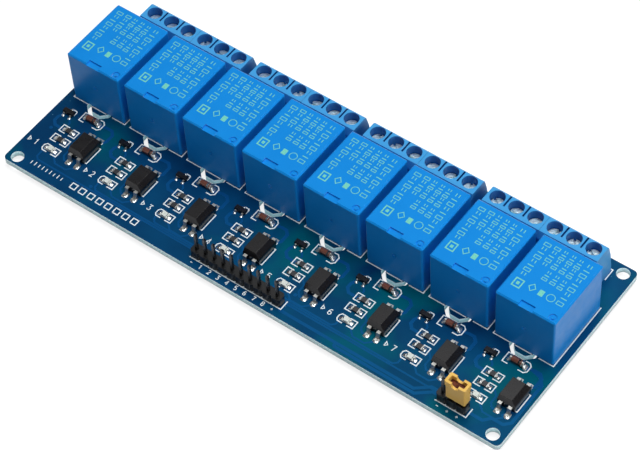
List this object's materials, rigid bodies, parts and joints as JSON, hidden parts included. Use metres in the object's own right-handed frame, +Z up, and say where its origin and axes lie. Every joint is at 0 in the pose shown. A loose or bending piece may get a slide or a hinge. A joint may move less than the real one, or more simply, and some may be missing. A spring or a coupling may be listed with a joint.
{
  "type": "relay module board",
  "caption": "Relay module board with blue power relays, screw terminals, opto-isolated inputs, pin headers and a jumper, on four mounting holes.",
  "frame": {"origin": "centre of the four mounting holes, on the underside of the board", "axes": "+X along the row of relays, +Y towards the screw terminals, +Z up out of the component side"},
  "size_m": [0.14, 0.056, 0.0186],
  "materials": {
    "board": "glossy solder mask over glass-fibre board",
    "relay_cover": "moulded blue plastic",
    "relay_base": "moulded dark blue plastic",
    "bobbin": "moulded nylon",
    "winding": "enamelled copper wire",
    "iron": "plated soft iron",
    "contact_strip": "spring bronze",
    "tinned": "tinned metal",
    "terminal_housing": "moulded light blue plastic",
    "plated_steel": "zinc-plated steel",
    "brass": "plated brass",
    "black_moulding": "moulded black epoxy or nylon",
    "diode_glass": "glass",
    "resistor": "glazed film on ceramic",
    "led_carrier": "white laminate",
    "led_lens": "clear resin",
    "header_pin": "dark plated pins",
    "jumper": "moulded yellow plastic",
    "solder": "solder"
  },
  "bodies": {
    "module": {"circuit_board": "board", "relay_bases": "relay_base", "relay_bobbins": "bobbin", "relay_coils": "winding", "relay_cores": "iron", "relay_yokes": "iron", "relay_fixed_contacts": "contact_strip", "relay_coil_pins": "tinned", "relay_common_pins": "contact_strip", "terminal_screws": "plated_steel", "terminal_clamps": "brass", "terminal_pins": "tinned", "optocoupler_bodies": "black_moulding", "optocoupler_leads": "tinned", "transistor_bodies": "black_moulding", "transistor_leads": "tinned", "diode_glass": "diode_glass", "diode_caps": "tinned", "resistor_bodies": "resistor", "resistor_ends": "tinned", "led_bases": "led_carrier", "led_lenses": "led_lens", "input_header_housing": "black_moulding", "input_header_pins": "header_pin", "supply_header_housing": "black_moulding", "supply_header_pins": "header_pin", "solder_joints": "solder", "relay_cover_1": "relay_cover", "relay_cover_2": "relay_cover", "relay_cover_3": "relay_cover", "relay_cover_4": "relay_cover", "relay_cover_5": "relay_cover", "relay_cover_6": "relay_cover", "relay_cover_7": "relay_cover", "relay_cover_8": "relay_cover", "terminal_blocks_1": "terminal_housing", "terminal_blocks_2": "terminal_housing", "terminal_blocks_3": "terminal_housing", "terminal_blocks_4": "terminal_housing"},
    "armature_1": {"relay_armature_1": "iron"},
    "armature_2": {"relay_armature_2": "iron"},
    "armature_3": {"relay_armature_3": "iron"},
    "armature_4": {"relay_armature_4": "iron"},
    "armature_5": {"relay_armature_5": "iron"},
    "armature_6": {"relay_armature_6": "iron"},
    "armature_7": {"relay_armature_7": "iron"},
    "armature_8": {"relay_armature_8": "iron"},
    "jumper": {"jumper_cap": "jumper", "jumper_clip": "tinned"}
  },
  "joints": [
    {"name": "armature_1_pull_in", "type": "hinge", "parent": "module", "child": "armature_1", "pos_m": [-0.06037, -0.001, 0.01282], "axis": [1, 0, 0], "range_deg": [-2.7, 0], "stiffness_Nm_per_rad": 0.002, "springref_deg": 5.73},
    {"name": "armature_2_pull_in", "type": "hinge", "parent": "module", "child": "armature_2", "pos_m": [-0.04312, -0.001, 0.01282], "axis": [1, 0, 0], "range_deg": [-2.7, 0], "stiffness_Nm_per_rad": 0.002, "springref_deg": 5.73},
    {"name": "armature_3_pull_in", "type": "hinge", "parent": "module", "child": "armature_3", "pos_m": [-0.02587, -0.001, 0.01282], "axis": [1, 0, 0], "range_deg": [-2.7, 0], "stiffness_Nm_per_rad": 0.002, "springref_deg": 5.73},
    {"name": "armature_4_pull_in", "type": "hinge", "parent": "module", "child": "armature_4", "pos_m": [-0.00863, -0.001, 0.01282], "axis": [1, 0, 0], "range_deg": [-2.7, 0], "stiffness_Nm_per_rad": 0.002, "springref_deg": 5.73},
    {"name": "armature_5_pull_in", "type": "hinge", "parent": "module", "child": "armature_5", "pos_m": [0.00863, -0.001, 0.01282], "axis": [1, 0, 0], "range_deg": [-2.7, 0], "stiffness_Nm_per_rad": 0.002, "springref_deg": 5.73},
    {"name": "armature_6_pull_in", "type": "hinge", "parent": "module", "child": "armature_6", "pos_m": [0.02587, -0.001, 0.01282], "axis": [1, 0, 0], "range_deg": [-2.7, 0], "stiffness_Nm_per_rad": 0.002, "springref_deg": 5.73},
    {"name": "armature_7_pull_in", "type": "hinge", "parent": "module", "child": "armature_7", "pos_m": [0.04312, -0.001, 0.01282], "axis": [1, 0, 0], "range_deg": [-2.7, 0], "stiffness_Nm_per_rad": 0.002, "springref_deg": 5.73},
    {"name": "armature_8_pull_in", "type": "hinge", "parent": "module", "child": "armature_8", "pos_m": [0.06037, -0.001, 0.01282], "axis": [1, 0, 0], "range_deg": [-2.7, 0], "stiffness_Nm_per_rad": 0.002, "springref_deg": 5.73},
    {"name": "jumper_pull_off", "type": "slide", "parent": "module", "child": "jumper", "axis": [0, 0, 1], "range_m": [0, 0.005]}
  ]
}
